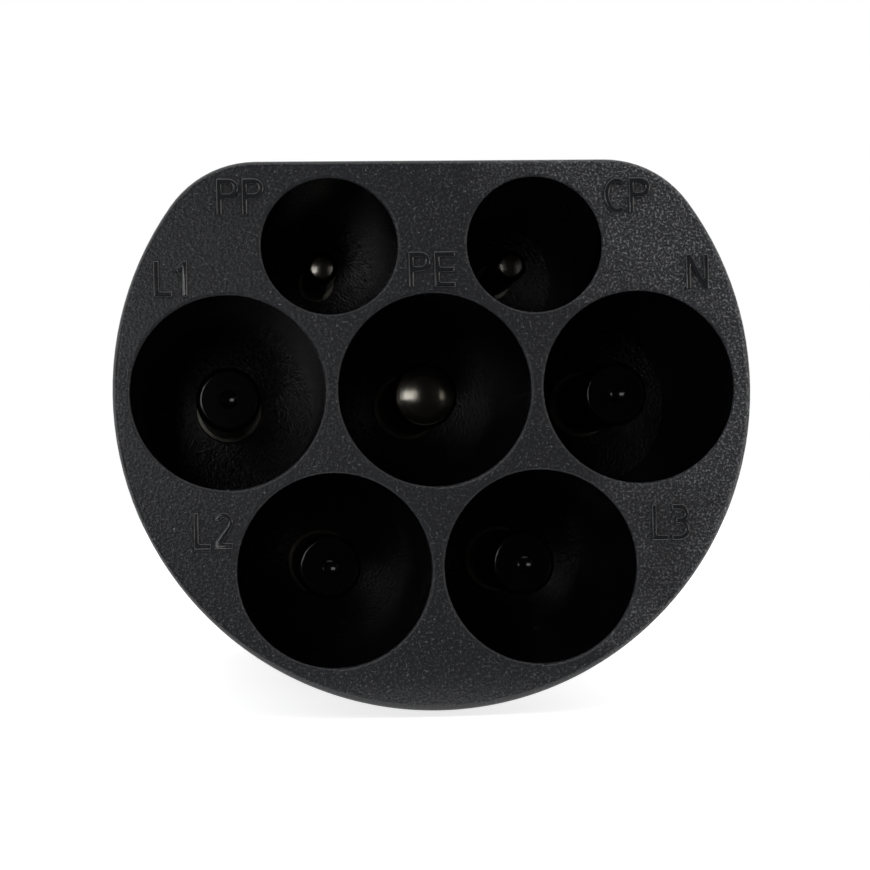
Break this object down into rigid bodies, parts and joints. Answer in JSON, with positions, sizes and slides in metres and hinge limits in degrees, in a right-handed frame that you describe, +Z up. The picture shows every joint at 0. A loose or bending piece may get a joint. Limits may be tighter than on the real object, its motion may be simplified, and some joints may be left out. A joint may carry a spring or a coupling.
{
  "type": "ev charging cable plug",
  "caption": "D-shaped charging cable plug: round chambers hold recessed power and signal pins, in a two-part straight housing with a cable gland at the rear.",
  "frame": {"origin": "on the surface that the plug lies on, under the middle of its box", "axes": "+Y from the face to the rear along the pins, +Z up, out of the nose's flat side, +X to the right seen from the front"},
  "size_m": [0.0586, 0.162, 0.0501],
  "materials": {
    "nose_nylon": "fine spark-eroded grain",
    "carrier_nylon": "moulded",
    "housing_nylon": "fine grain",
    "plated_brass": "silver plated, turned",
    "cap_plastic": "smooth moulded",
    "seal_rubber": "matt",
    "gasket_rubber": "matt",
    "screw_steel": "zinc plated",
    "resistor_ceramic": "lacquered",
    "retainer_nylon": "moulded",
    "gland_nylon": "moulded"
  },
  "bodies": {
    "root": {"plug_nose": "nose_nylon", "contact_carrier": "carrier_nylon", "upper_housing": "housing_nylon", "lower_housing": "housing_nylon", "pe_pin": "plated_brass", "l1_pin": "plated_brass", "l2_pin": "plated_brass", "l3_pin": "plated_brass", "n_pin": "plated_brass", "pp_pin": "plated_brass", "cp_pin": "plated_brass", "l1_tip_cap": "cap_plastic", "l2_tip_cap": "cap_plastic", "l3_tip_cap": "cap_plastic", "n_tip_cap": "cap_plastic", "power_pin_seals": "seal_rubber", "signal_pin_seals": "seal_rubber", "power_terminal_screws": "screw_steel", "signal_terminal_screws": "screw_steel", "coding_resistor": "resistor_ceramic", "contact_retainer": "retainer_nylon", "retainer_screws": "screw_steel", "collar_gasket": "gasket_rubber", "housing_screws": "screw_steel", "gland_body": "gland_nylon", "gland_seal": "seal_rubber", "gland_cage": "gland_nylon", "gland_nut": "gland_nylon"}
  },
  "joints": []
}
